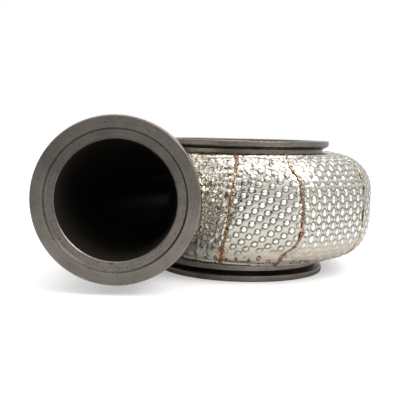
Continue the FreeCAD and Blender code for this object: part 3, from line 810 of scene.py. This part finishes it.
def machined_casting():
    """Machined cast iron: satin grey with fine turning marks, rust specks and a burnt film in the duct."""
    material, tree = new_material("machined_cast_iron")
    place = add(tree, "ShaderNodeTexCoord")["Object"]
    rings, inlet_radius = turned_rings(tree, place)

    # Grey in clouds about a centimetre wide, darker along some turning marks
    cloud = add(tree, "ShaderNodeTexNoise", {"Vector": place, "Scale": grains(12.0), "Detail": 6.0})["Fac"]
    colour = add(tree, "ShaderNodeValToRGB", {"Fac": cloud}, [(0.3, "#6D6862"), (0.7, "#867F78")])["Color"]
    turned = add(tree, "ShaderNodeTexNoise", {"Vector": rings, "Scale": grains(1.1), "Detail": 3.0})["Fac"]
    turned = add(tree, "ShaderNodeMapRange", {"Value": turned, "From Min": 0.35, "From Max": 0.65})[0]
    turned = add(tree, "ShaderNodeMath", {0: turned, 1: 0.35}, operation="MULTIPLY")[0]
    colour = add(tree, "ShaderNodeMix", {0: turned, 6: colour, 7: linear("#45413D")}, data_type="RGBA")[2]

    # Specks of rust, and dark pits under a millimetre wide
    rust = add(tree, "ShaderNodeTexNoise", {"Vector": place, "Scale": grains(2.6), "Detail": 5.0})["Fac"]
    rust = add(tree, "ShaderNodeValToRGB", {"Fac": rust}, [(0.64, "#000000"), (0.70, "#8A8A8A")])["Color"]
    colour = add(tree, "ShaderNodeMix", {0: rust, 6: colour, 7: linear("#5E4030")}, data_type="RGBA")[2]
    grit = add(tree, "ShaderNodeTexNoise", {"Vector": place, "Scale": grains(0.9), "Detail": 3.0})["Fac"]
    pits = add(tree, "ShaderNodeValToRGB", {"Fac": grit}, [(0.60, "#000000"), (0.72, "#FFFFFF")])["Color"]
    colour = add(tree, "ShaderNodeMix", {0: pits, 6: colour, 7: linear("#33302D")}, data_type="RGBA")[2]

    # The burnt film, from a little inside the duct's bright edge
    back = add(tree, "ShaderNodeSeparateXYZ", {0: place})["Y"]
    duct_start = (DUCT_EDGE - INLET_REACH) * MM
    past_edge = add(tree, "ShaderNodeMath", {0: back, 1: duct_start}, operation="GREATER_THAN")[0]
    in_duct = add(tree, "ShaderNodeMath", {0: inlet_radius, 1: DUCT_RADIUS * MM}, operation="LESS_THAN")[0]
    in_duct = add(tree, "ShaderNodeMath", {0: in_duct, 1: past_edge}, operation="MULTIPLY")[0]
    film = add(tree, "ShaderNodeMath", {0: in_duct, 1: 0.8}, operation="MULTIPLY")[0]
    colour = add(tree, "ShaderNodeMix", {0: film, 6: colour, 7: linear("#4C4741")}, data_type="RGBA")[2]
    roughness = add(tree, "ShaderNodeMath", {0: in_duct, 1: 0.17, 2: 0.33}, operation="MULTIPLY_ADD")[0]

    # Turning marks, drawn as coarse as they need to show
    marks = add(tree, "ShaderNodeTexNoise", {"Vector": rings, "Scale": grains(0.35), "Detail": 2.0})["Fac"]
    grooved = add(tree, "ShaderNodeBump", {"Height": marks, "Strength": 0.3, "Distance": 0.1 * MM})[0]
    sockets = {"Height": grit, "Strength": 0.25, "Distance": 0.2 * MM, "Normal": grooved}
    pitted = add(tree, "ShaderNodeBump", sockets)["Normal"]
    sockets = {"Base Color": colour, "Metallic": 1.0, "Roughness": roughness, "Normal": pitted}
    shader = add(tree, "ShaderNodeBsdfPrincipled", sockets)["BSDF"]
    add(tree, "ShaderNodeOutputMaterial", {"Surface": shader})
    return material


def fibre_mat():
    """Needled ceramic fibre: matt off-white felt."""
    material, tree = new_material("needled_ceramic_fibre")
    place = add(tree, "ShaderNodeTexCoord")["Object"]
    tufts = add(tree, "ShaderNodeTexNoise", {"Vector": place, "Scale": grains(1.2), "Detail": 4.0})["Fac"]
    colour = add(tree, "ShaderNodeValToRGB", {"Fac": tufts}, [(0.3, "#CFC9BC"), (0.7, "#ECE8DE")])["Color"]
    bump = add(tree, "ShaderNodeBump", {"Height": tufts, "Strength": 0.5, "Distance": 0.5 * MM})["Normal"]
    sockets = {"Base Color": colour, "Roughness": 0.95, "Normal": bump}
    shader = add(tree, "ShaderNodeBsdfPrincipled", sockets)["BSDF"]
    add(tree, "ShaderNodeOutputMaterial", {"Surface": shader})
    return material


def repaint(node, material):
    """Puts a material in every slot of a solid's object."""
    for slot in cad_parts[node].material_slots:
        slot.material = material


foil = bright_foil()
for piece in foil_pieces:
    piece.data.materials.append(foil)
repaint("turbine_housing", machined_casting())
repaint("inlet_edge_band", foil)
felt = fibre_mat()
for node in ("lower_fibre_mat", "upper_fibre_mat", "inlet_fibre_mat"):
    repaint(node, felt)


# Studio

def softbox(name, place, width, height, power):
    """A rectangular lamp at a place, turned to the middle of the housing, all in millimetres."""
    lamp = bpy.data.lights.new(name, "AREA")
    lamp.shape = "RECTANGLE"
    lamp.size = width * MM
    lamp.size_y = height * MM
    lamp.energy = power
    box = bpy.data.objects.new(name, lamp)
    box.location = Vector(place) * MM
    box.rotation_euler = (Vector(MIDDLE) - Vector(place)).to_track_quat("-Z", "Y").to_euler()
    bpy.context.scene.collection.objects.link(box)


def paper(name, colour, glow):
    """Matt paper. Only the camera sees its glow."""
    material, tree = new_material(name)
    seen = add(tree, "ShaderNodeLightPath")["Is Camera Ray"]
    shine = add(tree, "ShaderNodeMath", {0: seen, 1: glow}, operation="MULTIPLY")[0]
    sockets = {
        "Base Color": linear(colour),
        "Roughness": 0.9,
        "Emission Color": linear("#FFFFFF"),
        "Emission Strength": shine,
    }
    shader = add(tree, "ShaderNodeBsdfPrincipled", sockets)["BSDF"]
    add(tree, "ShaderNodeOutputMaterial", {"Surface": shader})
    return material


def card(name, corners, material):
    """A flat four-sided card of the studio."""
    mesh = bpy.data.meshes.new(name)
    mesh.from_pydata((np.array(corners) * MM).tolist(), [], [(0, 1, 2, 3)])
    mesh.materials.append(material)
    item = bpy.data.objects.new(name, mesh)
    bpy.context.scene.collection.objects.link(item)
    return item


def flag(name, centre, width, height, colour):
    """A dark card that only reflections see, facing the middle of the housing."""
    centre = Vector(centre)
    ahead = (Vector(MIDDLE) - centre).normalized()
    right = ahead.cross(Vector((0, 0, 1))).normalized() * width / 2
    above = right.cross(ahead).normalized() * height / 2
    corners = [centre - right - above, centre + right - above, centre + right + above, centre - right + above]
    item = card(name, corners, paper(name + "_cloth", colour, 0.0))
    item.visible_camera = False
    item.visible_diffuse = False
    item.visible_shadow = False


def light_room():
    """Even white light, seen by the camera as a plain white room."""
    studio = bpy.data.worlds.new("studio")
    bpy.context.scene.world = studio
    studio.use_nodes = True
    studio.node_tree.nodes.clear()
    light = add(studio.node_tree, "ShaderNodeBackground", {"Color": linear("#FFFFFF"), "Strength": 1.0})[0]
    add(studio.node_tree, "ShaderNodeOutputWorld", {"Surface": light})


MIDDLE = (0, 0, 40)
FLOOR_REACH = 3000
floor_corners = [(-FLOOR_REACH, -FLOOR_REACH, 0), (FLOOR_REACH, -FLOOR_REACH, 0)]
floor_corners += [(FLOOR_REACH, FLOOR_REACH, 0), (-FLOOR_REACH, FLOOR_REACH, 0)]

light_room()
card("floor", floor_corners, paper("floor_paper", "#DADADA", 0.36))
softbox("key_softbox", (330, -330, 420), 320, 320, 2.0)
softbox("top_softbox", (20, -100, 560), 800, 600, 2.2)
softbox("front_softbox", (60, -640, 420), 700, 260, 0.2)
flag("left_flag", (-520, -420, 140), 500, 500, "#4A4A4A")
flag("camera_side_flag", (-130, -600, 78), 250, 150, "#484848")
